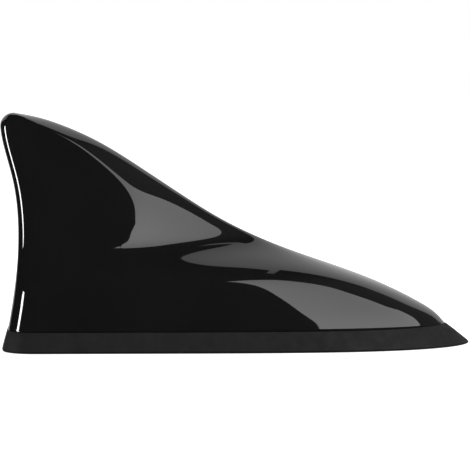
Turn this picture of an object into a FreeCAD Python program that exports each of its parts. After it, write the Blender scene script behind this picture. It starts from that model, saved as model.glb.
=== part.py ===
"""Shark-fin roof antenna for a car, as a parametric document in millimetres.

+X points to the nose, +Y to the car's left and +Z up. The origin lies on the roof, under the middle of the
overall length.
"""

import FreeCAD, Part
import math
import os

V = FreeCAD.Vector

# Driving sizes: alias, value and what it measures.
SIZES = [
    ("length", 160, "tail of the crown to the tip of the gasket"),
    ("width", 70, "across the foot of the gasket"),
    ("height", 79, "roof to crown"),
    ("wall", 2.2, "shell wall"),
    ("fit", 0.3, "clearance between pieces that slide together"),
    ("gasket_height", 7, "roof to the shell's rim"),
    ("gasket_proud", 0.3, "step from the shell out to the gasket"),
    ("gasket_flare", 2.3, "spread of the gasket's foot at the sides"),
    ("gasket_tail", 1.6, "spread of the gasket's foot at the tail"),
    ("gasket_nose", 7.6, "reach of the gasket's foot past the shell's nose"),
    ("gasket_edge", 0.9, "rounded foot of the gasket"),
    ("gasket_lip", 4, "inward lip under the floor"),
    ("tail_foot", 3.2, "rim at the tail, in from the crown's tail"),
    ("crown_radius", 4.6, "rounding of the crown at the tail"),
    ("crown_setback", 4.6, "top of the crown, in from its tail"),
    ("shoulder_half", 29.9, "half width where the flank starts to flare"),
    ("shoulder_level", 22.5, "height where the flank starts to flare"),
    ("shoulder_tail", 15, "the same height at the tail"),
    ("shoulder_peak", 86.5, "crown's tail to where the shoulder starts to fall"),
    ("blade_level", 39.7, "height where the flare has become the blade"),
    ("blade_tail", 33, "the same height at the tail"),
    ("blade_root", 35.6, "blade thickness at its root"),
    ("blade_tip", 15.5, "blade thickness at the crown"),
    ("bevel_from", 32.2, "height where the leading bevel starts to sharpen"),
    ("bevel_to", 60.5, "height where the leading bevel is sharpest"),
    ("edge_root", 1.4, "rounding of the leading edge at the blade's root"),
    ("edge_tip", 3.7, "rounding of the leading edge near the crown"),
    ("body_corner", 9.8, "plan corner of the body at the tail"),
    ("blade_corner", 5, "plan corner of the blade at the tail"),
    ("pad_thick", 1.2, "adhesive pad"),
    ("floor_thick", 3, "floor of the base plate"),
    ("rim_rise", 2, "base plate's rim above the shell's rim"),
    ("rim_wall", 2, "base plate's rim"),
    ("boss_dia", 7, "shell screw boss"),
    ("boss_tail_x", 18, "tail bosses, in from the crown's tail"),
    ("boss_tail_y", 20, "tail bosses, off the centre line"),
    ("boss_mid_x", 5, "middle bosses, ahead of the amplifier board"),
    ("boss_mid_y", 14, "middle bosses, off the centre line"),
    ("boss_nose_x", 25, "nose boss, back from the gasket's tip"),
    ("screw_dia", 2.4, "base screw, core"),
    ("screw_length", 7, "base screw, under its head"),
    ("screw_head_dia", 5.2, "base screw head"),
    ("screw_head", 1.4, "base screw head, height"),
    ("screw_gap", 0.05, "screw to its hole"),
    ("head_gap", 0.2, "screw head to its recess"),
    ("board_length", 80, "amplifier board"),
    ("board_width", 36, "amplifier board"),
    ("board_thick", 1.6, "both boards"),
    ("board_middle", 10, "amplifier board's middle, behind the origin"),
    ("post_height", 4.5, "board posts"),
    ("post_dia", 6, "board posts"),
    ("post_inset", 4, "posts, in from the board's edges"),
    ("board_screw_dia", 1.6, "board screw, core"),
    ("board_screw_length", 5, "board screw, under its head"),
    ("board_head_dia", 3.8, "board screw head"),
    ("board_head", 1.3, "board screw head, height"),
    ("grommet_x", 37, "cable gland, back from the gasket's tip"),
    ("grommet_bore", 5, "cable bore"),
    ("grommet_neck", 9, "gland in the floor"),
    ("grommet_flange", 12, "gland flanges"),
    ("grommet_top", 1.5, "upper flange"),
    ("can_length", 21, "shield can"),
    ("can_width", 24, "shield can"),
    ("can_height", 5, "shield can"),
    ("can_sheet", 0.4, "shield can"),
    ("can_x", 3, "shield can, clear of the coax socket"),
    ("socket_body", 8, "coax socket block, square"),
    ("socket_height", 7, "coax socket block"),
    ("socket_barrel", 5.4, "coax socket barrel"),
    ("socket_bore", 3.6, "coax socket mouth"),
    ("socket_reach", 6, "coax socket barrel past its block"),
    ("radiator_foot_tail", 4, "radiator's foot, in from the amplifier board's tail end"),
    ("radiator_foot_nose", 2, "radiator's foot, clear of the shield can"),
    ("radiator_step", 12, "height of the radiator's foot above its board"),
    ("radiator_top", 11, "top of the radiator below the crown"),
    ("radiator_margin", 3, "radiator to the shell"),
    ("bracket_leg", 7, "bracket legs"),
    ("bracket_sheet", 0.6, "bracket sheet"),
    ("bracket_width", 6, "bracket along the radiator"),
    ("coil_dia", 4, "filter coil"),
    ("coil_length", 6, "filter coil"),
    ("coil_pitch", 8, "spacing of the coils"),
    ("coil_row_y", 12, "row of coils, right of the centre line"),
    ("capacitor_length", 3.2, "filter capacitor"),
    ("capacitor_width", 1.6, "filter capacitor"),
    ("capacitor_height", 1.2, "filter capacitor"),
    ("capacitor_pitch", 6, "spacing of the capacitors"),
    ("capacitor_row_y", 12, "row of capacitors, left of the centre line"),
    ("capacitor_gap", 6, "last capacitor's middle, clear of the shield can"),
    ("small_parts_x", 18, "first coil, in from the amplifier board's tail end"),
]
COILS = 3
CAPACITORS = 5

# Edges of the fin as shares of the length, from the crown's tail, and of the height, from the rim
# to the crown.
LEADING_EDGE = [(0.938, 0.030), (0.895, 0.099), (0.809, 0.193), (0.639, 0.332), (0.468, 0.500),
                (0.3825, 0.618), (0.2975, 0.743), (0.212, 0.860), (0.126, 0.946), (0.084, 0.976)]
TRAILING_EDGE = [(0.0357, 0.230), (0.0402, 0.430), (0.0287, 0.680), (0.0112, 0.822), (0.0012, 0.930)]

# Plan shape of the body at the rim and at the shoulder: how late the nose closes, how round it is,
# and the taper.
NOSE_LATE = (6.4, 5.9)
NOSE_ROUND = (1.62, 2.2)
BODY_TAPER = (0.115, 0.07)
NOSE_INSET = 2
TAIL_BULGE = 0.035

# Blade: how early it thins above its root, and its leading bevel at the root and near the crown, as
# a slope and as how crisply it meets the flank.
BLADE_THINNING = 1.36
BEVEL_SLOPE = (0.296, 0.79)
BEVEL_CREASE = (6, 20)

# Loops of the skin, up to the crown and round it, and the points of one loop on each side: tail face,
# tail corner, flank and leading bevel.
BODY_LOOPS = 28
CROWN_LOOPS = 7
TAIL_STEPS = 2
CORNER_STEPS = 4
FLANK_STEPS = 9
BEVEL_STEPS = 10
TIP_SHARE = 0.25

doc = FreeCAD.newDocument("RoofAntenna")
sheet = doc.addObject("Spreadsheet::Sheet", "Sizes")
for line, (alias, value, note) in enumerate(SIZES, 1):
    sheet.set("A%d" % line, note)
    sheet.set("B%d" % line, str(value))
    sheet.setAlias("B%d" % line, alias)
doc.recompute()


def size(alias):
    """Value of one driving size."""
    return float(sheet.get(alias))


# Heights of the stacked pieces, as expressions of the driving sizes.
FLOOR_TOP = "(Sizes.pad_thick + Sizes.floor_thick)"
BOARD_UNDER = "(Sizes.pad_thick + Sizes.floor_thick + Sizes.post_height)"
BOARD_TOP = "(Sizes.pad_thick + Sizes.floor_thick + Sizes.post_height + Sizes.board_thick)"
HEAD_SEAT = "(Sizes.pad_thick + Sizes.screw_head)"

# Places along the base, as expressions of the driving sizes.
GLAND_X = "(Sizes.length / 2 - Sizes.grommet_x)"
BOARD_TAIL = "(-Sizes.board_middle - Sizes.board_length / 2)"
BOARD_NOSE = "(Sizes.board_length / 2 - Sizes.board_middle)"
CAN_TAIL = "(%s - Sizes.socket_body - Sizes.can_x - Sizes.can_length)" % BOARD_NOSE
FOOT_TAIL = "(%s + Sizes.radiator_foot_tail)" % BOARD_TAIL
FOOT_NOSE = "(%s - Sizes.radiator_foot_nose)" % CAN_TAIL


def bind(item, **expressions):
    """Tie properties to the sheet. x, y and z stand for the placement."""
    for name, text in expressions.items():
        path = "Placement.Base." + name if name in ("x", "y", "z") else name
        item.setExpression(path, text)
    return item


def box(name, length, width, height, x, y, z):
    """Box whose x and y give its middle and z its underside."""
    item = doc.addObject("Part::Box", name)
    bind(item, Length=length, Width=width, Height=height)
    return bind(item, x="%s - %s / 2" % (x, length), y="%s - %s / 2" % (y, width), z=z)


def cylinder(name, diameter, height, x, y, z):
    """Upright cylinder standing on z."""
    item = doc.addObject("Part::Cylinder", name)
    return bind(item, Radius="%s / 2" % diameter, Height=height, x=x, y=y, z=z)


def group(kind, name, items):
    """Several objects fused, commoned or kept side by side."""
    item = doc.addObject(kind, name)
    if kind == "Part::Compound":
        item.Links = items
    else:
        item.Shapes = items
    return item


def cut(name, base, tool):
    """One object less another."""
    item = doc.addObject("Part::Cut", name)
    item.Base = base
    item.Tool = tool
    return item


def freeform(name, shape):
    """Object that holds a shape made here."""
    item = doc.addObject("Part::Feature", name)
    item.Shape = shape
    return item


# Guide lines of the fin: each gives a distance for a height above the roof.
TAIL_X = -size("length") / 2
RIM = size("gasket_height")
CROWN = size("height")
RIM_HALF = size("width") / 2 - size("gasket_flare") - size("gasket_proud")
NOSE_X = size("length") / 2 - size("gasket_nose") - NOSE_INSET * size("gasket_proud")
CROWN_X = TAIL_X + size("crown_setback")


def edge_curve(start_x, shares, end_x):
    """Smooth line in the centre plane from the shell's rim up to the crown."""
    points = [V(start_x, 0, RIM)]
    for along, up in shares:
        points.append(V(TAIL_X + along * size("length"), 0, blend(RIM, CROWN, up)))
    points.append(V(end_x, 0, CROWN))
    curve = Part.BSplineCurve()
    curve.interpolate(points)
    return curve


def blend(low, high, share):
    """Value between two others."""
    return low + (high - low) * share


LEADING = edge_curve(NOSE_X, LEADING_EDGE, CROWN_X)
TRAILING = edge_curve(TAIL_X + size("tail_foot"), TRAILING_EDGE, TAIL_X)


def place_at(curve, level):
    """Place on an edge of the fin at a height, found by halving."""
    low = curve.FirstParameter
    high = curve.LastParameter
    for _ in range(50):
        middle = (low + high) / 2
        if curve.value(middle).z < level:
            low = middle
        else:
            high = middle
    return high


def x_at(curve, level):
    """Where an edge of the fin passes a height."""
    return curve.value(place_at(curve, level)).x


def crown_share(level):
    """Share of the full section that is left as the crown rounds over."""
    above = max(0, 1 - (CROWN - level) / size("crown_radius"))
    return math.sqrt(1 - above ** 2)


def tail_x(level):
    """Trailing edge, rounded over at the crown."""
    return blend(CROWN_X, x_at(TRAILING, level), crown_share(level))


def clamp(share):
    """Share kept between 0 and 1."""
    return min(max(share, 0), 1)


def ease(share):
    """Smooth step from 0 to 1, level at both ends."""
    share = clamp(share)
    return share ** 3 * (share * (6 * share - 15) + 10)


def turn(level, x):
    """How far the body has turned into the blade, 0 to 1. The shoulder falls towards the tail."""
    run = clamp((x - TAIL_X) / size("shoulder_peak"))
    low = blend(size("shoulder_tail"), size("shoulder_level"), run)
    high = blend(size("blade_tail"), size("blade_level"), run)
    return ease((level - low) / (high - low))


def body_half(level):
    """Half width of the drafted body."""
    draft = (RIM_HALF - size("shoulder_half")) / (size("shoulder_level") - RIM)
    return (RIM_HALF - draft * (level - RIM)) * crown_share(level)


def blade_half(level):
    """Half thickness of the blade, which thins towards the crown."""
    down = (CROWN - level) / (CROWN - size("blade_level"))
    return blend(size("blade_tip"), size("blade_root"), down ** BLADE_THINNING) / 2 * crown_share(level)


def half_loop(level, nose_x, inset):
    """Points of one side of a horizontal section, from the tail's middle to the nose."""
    tail = tail_x(level) + inset
    nose = nose_x - NOSE_INSET * inset
    chord = nose - tail
    body = body_half(level) - inset
    blade = blade_half(level) - inset
    rise = clamp((level - RIM) / (size("shoulder_level") - RIM))
    late = blend(NOSE_LATE[0], NOSE_LATE[1], rise)
    roundness = blend(NOSE_ROUND[0], NOSE_ROUND[1], rise)
    taper = blend(BODY_TAPER[0], BODY_TAPER[1], rise)
    sharp = clamp((level - size("bevel_from")) / (size("bevel_to") - size("bevel_from")))
    sharp = sharp * sharp * (3 - 2 * sharp)
    slope = blend(BEVEL_SLOPE[0], BEVEL_SLOPE[1], sharp)
    radius = blend(size("edge_root"), size("edge_tip"), sharp)
    crease = blend(BEVEL_CREASE[0], BEVEL_CREASE[1], sharp)

    def flank(x):
        along = clamp((x - tail) / chord)
        wide = body * (1 - taper * along) * (1 - along ** late) ** (1 / roundness)
        ahead = max(nose - x, 1e-6)
        bevel = math.sqrt((slope * ahead) ** 2 + 2 * radius * ahead)
        thin = blade * (1 + (blade / bevel) ** crease) ** (-1 / crease)
        return blend(wide, thin, turn(level, x))

    share = turn(level, tail)
    half = blend(body, blade, share)
    corner = min(blend(size("body_corner"), size("blade_corner"), share), 0.8 * half, 0.45 * chord)
    side = flank(tail + corner)
    points = []
    for step in range(TAIL_STEPS):
        y = (side - corner) * step / TAIL_STEPS
        points.append(V(tail + TAIL_BULGE * half * (y / half) ** 2, y, level))
    start = tail + TAIL_BULGE * half * ((side - corner) / half) ** 2
    for step in range(CORNER_STEPS):
        angle = math.pi / 2 * step / CORNER_STEPS
        x = blend(start, tail + corner, 1 - math.cos(angle))
        points.append(V(x, side - corner * (1 - math.sin(angle)), level))
    reach = (math.sqrt(radius ** 2 + (slope * blade) ** 2) - radius) / slope ** 2
    bend = nose - min(max(reach, 0.15 * chord), 0.7 * chord)
    places = []
    for step in range(FLANK_STEPS):
        places.append(blend(tail + corner, bend, 1 - (1 - step / FLANK_STEPS) ** 1.7))
    for step in range(BEVEL_STEPS):
        places.append(blend(bend, nose, 1 - (1 - (step / BEVEL_STEPS) ** 1.4) ** 2.2))
    points += [V(x, flank(x), level) for x in places]
    points.append(V(nose, 0, level))
    return points


def loop(level, nose_x, inset=0.0):
    """Closed horizontal section moved in by an inset, counter-clockwise from the tail's middle."""
    left = half_loop(level, nose_x, inset)
    right = [V(p.x, -p.y, p.z) for p in left[1:-1]]
    return [left[0]] + right + [left[-1]] + left[-2:0:-1]


def raised(rows):
    """Poles that carry a smooth skin through the given closed loops."""
    count = len(rows[0])
    poles = []
    for row in rows:
        poles.append([row[i] * (4 / 3) - (row[i - 1] + row[(i + 1) % count]) * (1 / 6) for i in range(count)])
    middle = []
    for below, here, above in zip(poles, poles[1:], poles[2:]):
        middle.append([h * (4 / 3) - (b + a) * (1 / 6) for b, h, a in zip(below, here, above)])
    first = [(a * 2 + b) * (1 / 3) for a, b in zip(poles[0], middle[0])]
    last = [(a * 2 + b) * (1 / 3) for a, b in zip(poles[-1], middle[-1])]
    return [poles[0], first] + middle + [last, poles[-1]]


def skin_solid(rows):
    """Solid with a smooth side through a stack of closed loops and flat ends."""
    poles = raised(rows)
    spans = len(rows) - 1
    around = len(rows[0])
    surface = Part.BSplineSurface()
    surface.buildFromPolesMultsKnots(
        poles, [4] + [1] * (spans - 1) + [4], [1] * (around + 1),
        list(range(spans + 1)), list(range(around + 1)), False, True, 3, 3)
    side = surface.toShape()
    ends = [Part.Face(Part.Wire(edge)) for edge in side.Edges if edge.isClosed()]
    shell = Part.makeShell([side] + ends)
    shell.sewShape()
    solid = Part.makeSolid(shell)
    return solid if solid.Volume > 0 else solid.reversed()


def base_outline(inset, z):
    """Closed smooth wire for the pieces of the base, drawn at height z.

    It follows the loop that bounds the hollow, a wall below its own level, at the top of the base
    plate's rim.
    """
    level = RIM + size("rim_rise") + size("wall")
    points = [V(p.x, p.y, z) for p in loop(level, x_at(LEADING, level), inset)]
    curve = Part.BSplineCurve()
    curve.interpolate(Points=points, PeriodicFlag=True)
    return Part.Wire(curve.toShape())


def prism(name, inset, z, height):
    """Upright block with the base's outline."""
    item = doc.addObject("Part::Extrusion", name)
    item.Base = freeform(name + "_outline", base_outline(inset, z))
    item.DirMode = "Custom"
    item.Dir = V(0, 0, 1)
    item.Solid = True
    return bind(item, LengthFwd=height)


def fin_levels():
    """Heights of the skin's loops, evenly spaced up the leading edge and closer round the crown."""
    top = CROWN - size("crown_radius")
    edge = LEADING.discretize(Number=BODY_LOOPS, First=LEADING.FirstParameter, Last=place_at(LEADING, top))
    levels = [p.z for p in edge]
    for step in range(1, CROWN_LOOPS):
        angle = math.pi / 2 * (1 - step / CROWN_LOOPS)
        levels.append(CROWN - size("crown_radius") * (1 - math.cos(angle)))
    return levels


def fin_loops():
    """Loops of the fin's outer skin, closed at the crown."""
    rows = [loop(level, x_at(LEADING, level)) for level in fin_levels()]
    tip = V(CROWN_X, 0, CROWN)
    rows.append([tip + (V(p.x, p.y, CROWN) - tip) * TIP_SHARE for p in rows[-1]])
    return rows


def inner_loops(depth):
    """Loops of the fin moved in and down by a depth: from the floor, as far up as there is room."""
    inner = []
    for level in fin_levels():
        nose_x = x_at(LEADING, level)
        if blade_half(level) > 2 * depth and nose_x - tail_x(level) > 6 * depth:
            inner.append([q - V(0, 0, depth) for q in loop(level, nose_x, depth)])
    floor = size("pad_thick") + size("floor_thick")
    return [[V(p.x, p.y, floor) for p in inner[0]]] + inner


def outer_shell(bosses):
    """Thin fin with screw bosses that end inside its wall."""
    fin = freeform("fin_form", skin_solid(fin_loops()))
    hollow = freeform("fin_hollow", skin_solid(inner_loops(size("wall"))))
    core = freeform("fin_core", skin_solid(inner_loops(size("wall") / 2)))
    thin = cut("fin_thin", fin, hollow)
    posts = []
    pilots = []
    for i, (x, y) in enumerate(bosses):
        height = "Sizes.height - " + FLOOR_TOP
        posts.append(cylinder("boss_%d" % i, "Sizes.boss_dia", height, x, y, FLOOR_TOP))
        pilot = "(Sizes.screw_dia + 2 * Sizes.screw_gap)"
        pilots.append(cylinder("pilot_%d" % i, pilot, "Sizes.screw_length", x, y, FLOOR_TOP))
    trimmed = group("Part::MultiCommon", "boss_trim", [core, group("Part::MultiFuse", "bosses", posts)])
    whole = group("Part::MultiFuse", "fin_bossed", [thin, trimmed])
    return cut("outer_shell", whole, group("Part::MultiFuse", "pilots", pilots))


def gasket_loops():
    """Loops of the gasket's outside, from its rounded foot up to the step under the shell."""
    rim = loop(RIM, NOSE_X, -size("gasket_proud"))
    tail = rim[0]
    nose = max(rim, key=lambda p: p.x)
    half = max(p.y for p in rim)
    edge = size("gasket_edge")
    profile = [(0, edge), (0.3 * edge, 0.3 * edge), (edge, 0)]
    for step in range(1, 5):
        profile.append((blend(edge, RIM, step / 4), 0))
    rows = []
    for z, tuck in profile:
        spread = min(1, (RIM - z) / (RIM - edge))
        back = size("gasket_tail") * spread - tuck
        ahead = size("gasket_nose") * spread - tuck
        stretch = (nose.x - tail.x + back + ahead) / (nose.x - tail.x)
        widen = (half + size("gasket_flare") * spread - tuck) / half
        rows.append([V(tail.x - back + (p.x - tail.x) * stretch, p.y * widen, z) for p in rim])
    return rows


def rubber_gasket():
    """Skirt under the shell's rim, with a lip that the floor clamps."""
    skirt = freeform("gasket_form", skin_solid(gasket_loops()))
    well = prism("gasket_well", size("wall"), size("pad_thick"), "Sizes.gasket_height")
    lip = size("wall") + size("fit") + size("gasket_lip")
    mouth = prism("gasket_mouth", lip, -size("pad_thick"), "3 * Sizes.pad_thick")
    return cut("rubber_gasket", skirt, group("Part::MultiFuse", "gasket_inside", [well, mouth]))


def adhesive_pad():
    """Foam pad inside the gasket's lip, open round the cable gland."""
    inset = size("wall") + 2 * size("fit") + size("gasket_lip")
    foam = prism("pad_form", inset, 0, "Sizes.pad_thick")
    clear = "(Sizes.grommet_flange + 2 * Sizes.fit)"
    hole = cylinder("pad_hole", clear, "Sizes.pad_thick", GLAND_X, "0", "0")
    return cut("adhesive_pad", foam, hole)


def base_plate(bosses, posts):
    """Tray with an upstanding rim, board posts, screw seats and the cable gland's hole."""
    inset = size("wall") + size("fit")
    under = size("pad_thick")
    over = under + size("floor_thick")
    rise = "Sizes.gasket_height + Sizes.rim_rise - Sizes.pad_thick"
    block = prism("plate_form", inset, under, rise)
    tray = cut("plate_tray", block, prism("plate_well", inset + size("rim_wall"), over, rise))
    studs = []
    holes = []
    for i, (x, y) in enumerate(posts):
        studs.append(cylinder("stud_%d" % i, "Sizes.post_dia", "Sizes.post_height", x, y, FLOOR_TOP))
        pilot = "(Sizes.board_screw_dia + 2 * Sizes.screw_gap)"
        holes.append(cylinder("stud_pilot_%d" % i, pilot, "Sizes.post_height", x, y, FLOOR_TOP))
    for i, (x, y) in enumerate(bosses):
        through = "(Sizes.screw_dia + 2 * Sizes.head_gap)"
        holes.append(cylinder("seat_bore_%d" % i, through, "Sizes.floor_thick", x, y, "Sizes.pad_thick"))
        recess = "(Sizes.screw_head_dia + 2 * Sizes.head_gap)"
        holes.append(cylinder("seat_%d" % i, recess, "Sizes.screw_head", x, y, "Sizes.pad_thick"))
    neck = "Sizes.grommet_neck"
    holes.append(cylinder("gland_hole", neck, "Sizes.floor_thick", GLAND_X, "0", "Sizes.pad_thick"))
    whole = group("Part::MultiFuse", "plate_studded", [tray] + studs)
    return cut("base_plate", whole, group("Part::MultiFuse", "plate_holes", holes))


def cable_grommet():
    """Rubber gland: a neck in the floor between two flanges, with the cable's bore."""
    flange = "Sizes.grommet_flange"
    lower = cylinder("gland_lower", flange, "Sizes.pad_thick", GLAND_X, "0", "0")
    neck = cylinder("gland_neck", "Sizes.grommet_neck", "Sizes.floor_thick", GLAND_X, "0", "Sizes.pad_thick")
    upper = cylinder("gland_upper", flange, "Sizes.grommet_top", GLAND_X, "0", FLOOR_TOP)
    whole = group("Part::MultiFuse", "gland_form", [lower, neck, upper])
    tall = FLOOR_TOP + " + Sizes.grommet_top"
    return cut("cable_grommet", whole, cylinder("gland_bore", "Sizes.grommet_bore", tall, GLAND_X, "0", "0"))


def base_screws(bosses):
    """Screws from below through the floor into the shell's bosses."""
    screws = []
    for i, (x, y) in enumerate(bosses):
        head = cylinder("screw_head_%d" % i, "Sizes.screw_head_dia", "Sizes.screw_head", x, y,
                        "Sizes.pad_thick")
        core = cylinder("screw_core_%d" % i, "Sizes.screw_dia", "Sizes.screw_length", x, y, HEAD_SEAT)
        screws.append(group("Part::MultiFuse", "base_screw_%d" % i, [head, core]))
    return group("Part::Compound", "base_screws", screws)


def amplifier_board(posts):
    """Flat circuit board on the posts."""
    middle = "-Sizes.board_middle"
    plain = box("board_form", "Sizes.board_length", "Sizes.board_width", "Sizes.board_thick",
                middle, "0", BOARD_UNDER)
    through = "(Sizes.board_screw_dia + 2 * Sizes.head_gap)"
    holes = [cylinder("board_hole_%d" % i, through, "Sizes.board_thick", x, y, BOARD_UNDER)
             for i, (x, y) in enumerate(posts)]
    return cut("amplifier_board", plain, group("Part::MultiFuse", "board_holes", holes))


def board_screws(posts):
    """Screws from above through the board into the posts."""
    screws = []
    for i, (x, y) in enumerate(posts):
        head = cylinder("board_head_%d" % i, "Sizes.board_head_dia", "Sizes.board_head", x, y, BOARD_TOP)
        foot = BOARD_TOP + " - Sizes.board_screw_length"
        core = cylinder("board_core_%d" % i, "Sizes.board_screw_dia", "Sizes.board_screw_length", x, y, foot)
        screws.append(group("Part::MultiFuse", "board_screw_%d" % i, [head, core]))
    return group("Part::Compound", "board_screws", screws)


def shield_can():
    """Tinned cover, open below, over the amplifier stage."""
    x = "(%s + Sizes.can_length / 2)" % CAN_TAIL
    block = box("can_form", "Sizes.can_length", "Sizes.can_width", "Sizes.can_height", x, "0", BOARD_TOP)
    inner = ["(Sizes.can_%s - 2 * Sizes.can_sheet)" % side for side in ("length", "width")]
    hollow = box("can_hollow", inner[0], inner[1], "Sizes.can_height - Sizes.can_sheet", x, "0", BOARD_TOP)
    return cut("shield_can", block, hollow)


def coax_socket():
    """Board socket at the nose end, with its mouth facing the nose."""
    body = "Sizes.socket_body"
    block = box("socket_block", body, body, "Sizes.socket_height",
                BOARD_NOSE + " - %s / 2" % body, "0", BOARD_TOP)
    pieces = []
    for name, diameter in (("socket_tube", "Sizes.socket_barrel"), ("socket_mouth", "Sizes.socket_bore")):
        item = doc.addObject("Part::Cylinder", name)
        item.Placement = FreeCAD.Placement(V(0, 0, 0), FreeCAD.Rotation(V(0, 1, 0), 90))
        bind(item, Radius=diameter + " / 2", Height="Sizes.socket_reach")
        bind(item, x=BOARD_NOSE, z=BOARD_TOP + " + Sizes.socket_height / 2")
        pieces.append(item)
    whole = group("Part::MultiFuse", "socket_form", [block, pieces[0]])
    return cut("coax_socket", whole, pieces[1])


def radiator_outline():
    """Corners of the upright board: a foot on the amplifier board and a blade inside the fin."""
    foot = size("pad_thick") + size("floor_thick") + size("post_height") + size("board_thick")
    step = foot + size("radiator_step")
    top = CROWN - size("radiator_top")
    margin = size("radiator_margin") + size("wall")
    foot_tail = size("radiator_foot_tail") - size("board_middle") - size("board_length") / 2
    can_nose = size("board_length") / 2 - size("board_middle") - size("socket_body") - size("can_x")
    foot_nose = can_nose - size("can_length") - size("radiator_foot_nose")

    def nose(level):
        return x_at(LEADING, level + margin) - margin

    corners = [V(foot_tail, 0, foot), V(foot_nose, 0, foot)]
    levels = [blend(step, top, share) for share in (0.45, 0.7, 0.85, 1)]
    corners += [V(min(nose(level), corners[1].x), 0, level) for level in levels]
    corners += [V(tail_x(level) + margin, 0, level) for level in (top, blend(step, top, 0.5), step)]
    corners.append(V(foot_tail, 0, step))
    return corners


def radiator_board():
    """Upright board in the centre plane that carries the aerial element."""
    corners = radiator_outline()
    item = doc.addObject("Part::Extrusion", "radiator_board")
    item.Base = freeform("radiator_outline", Part.makePolygon(corners + corners[:1]))
    item.DirMode = "Custom"
    item.Dir = V(0, 1, 0)
    item.Solid = True
    item.Symmetric = True
    return bind(item, LengthFwd="Sizes.board_thick")


def radiator_brackets():
    """Angle brackets between the radiator's foot and the amplifier board, one near each end of the foot."""
    brackets = []
    for i, x in enumerate((FOOT_TAIL + " + Sizes.bracket_width", FOOT_NOSE + " - Sizes.bracket_width")):
        face = "Sizes.board_thick / 2"
        leg = "Sizes.bracket_leg"
        sheet_thick = "Sizes.bracket_sheet"
        width = "Sizes.bracket_width"
        flat = box("bracket_flat_%d" % i, width, leg, sheet_thick, x, face + " + %s / 2" % leg, BOARD_TOP)
        wall = box("bracket_wall_%d" % i, width, sheet_thick, leg,
                   x, face + " + %s / 2" % sheet_thick, BOARD_TOP)
        brackets.append(group("Part::MultiFuse", "bracket_%d" % i, [flat, wall]))
    return group("Part::Compound", "radiator_brackets", brackets)


def filter_coils():
    """Small wound coils lying in a row on the board."""
    coils = []
    for i in range(COILS):
        item = doc.addObject("Part::Cylinder", "coil_%d" % i)
        item.Placement = FreeCAD.Placement(V(0, 0, 0), FreeCAD.Rotation(V(1, 0, 0), 90))
        bind(item, Radius="Sizes.coil_dia / 2", Height="Sizes.coil_length",
             z=BOARD_TOP + " + Sizes.coil_dia / 2",
             x=BOARD_TAIL + " + Sizes.small_parts_x + %d * Sizes.coil_pitch" % i,
             y="-Sizes.coil_row_y + Sizes.coil_length / 2")
        coils.append(item)
    return group("Part::Compound", "filter_coils", coils)


def filter_capacitors():
    """Small block parts in a row on the board."""
    blocks = []
    for i in range(CAPACITORS):
        behind = CAPACITORS - 1 - i
        x = "(%s - Sizes.capacitor_gap - %d * Sizes.capacitor_pitch)" % (CAN_TAIL, behind)
        blocks.append(box("capacitor_%d" % i, "Sizes.capacitor_width", "Sizes.capacitor_length",
                          "Sizes.capacitor_height", x, "Sizes.capacitor_row_y", BOARD_TOP))
    return group("Part::Compound", "filter_capacitors", blocks)


def boss_places():
    """Screw bosses: two at the tail, two at the middle and one at the nose."""
    places = []
    for side in ("-", ""):
        places.append(("Sizes.boss_tail_x - Sizes.length / 2", side + "Sizes.boss_tail_y"))
        places.append((BOARD_NOSE + " + Sizes.boss_mid_x", side + "Sizes.boss_mid_y"))
    places.append(("Sizes.length / 2 - Sizes.boss_nose_x", "0"))
    return places


def post_places():
    """Board posts, one near each corner of the board."""
    places = []
    for end in ("-", "+"):
        for side in ("-", ""):
            x = "-Sizes.board_middle %s (Sizes.board_length / 2 - Sizes.post_inset)" % end
            places.append((x, side + "(Sizes.board_width / 2 - Sizes.post_inset)"))
    return places


def build():
    """Make every piece, check it and write one file for each."""
    bosses = boss_places()
    posts = post_places()
    nodes = [
        outer_shell(bosses),
        rubber_gasket(),
        adhesive_pad(),
        base_plate(bosses, posts),
        cable_grommet(),
        base_screws(bosses),
        amplifier_board(posts),
        board_screws(posts),
        shield_can(),
        coax_socket(),
        radiator_board(),
        radiator_brackets(),
        filter_coils(),
        filter_capacitors(),
    ]
    doc.recompute()
    for item in doc.Objects:
        if "Invalid" in item.State or "Error" in item.State:
            raise RuntimeError("%s failed: %s" % (item.Name, item.State))
    for item in nodes:
        if item.Shape.isNull() or not item.Shape.isValid():
            raise RuntimeError("%s has no valid shape" % item.Name)
    os.makedirs("parts", exist_ok=True)
    for item in nodes:
        item.Label = item.Name
        item.Shape.exportStep("parts/%s.step" % item.Label)
        bounds = item.Shape.BoundBox
        print("%-18s solids %2d  volume %9.1f  x %.2f..%.2f  y %.2f..%.2f  z %.2f..%.2f" % (
            item.Label, len(item.Shape.Solids), item.Shape.Volume, bounds.XMin, bounds.XMax,
            bounds.YMin, bounds.YMax, bounds.ZMin, bounds.ZMax))


build()
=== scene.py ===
import math

import bmesh
import bpy
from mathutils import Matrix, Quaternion, Vector


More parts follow.
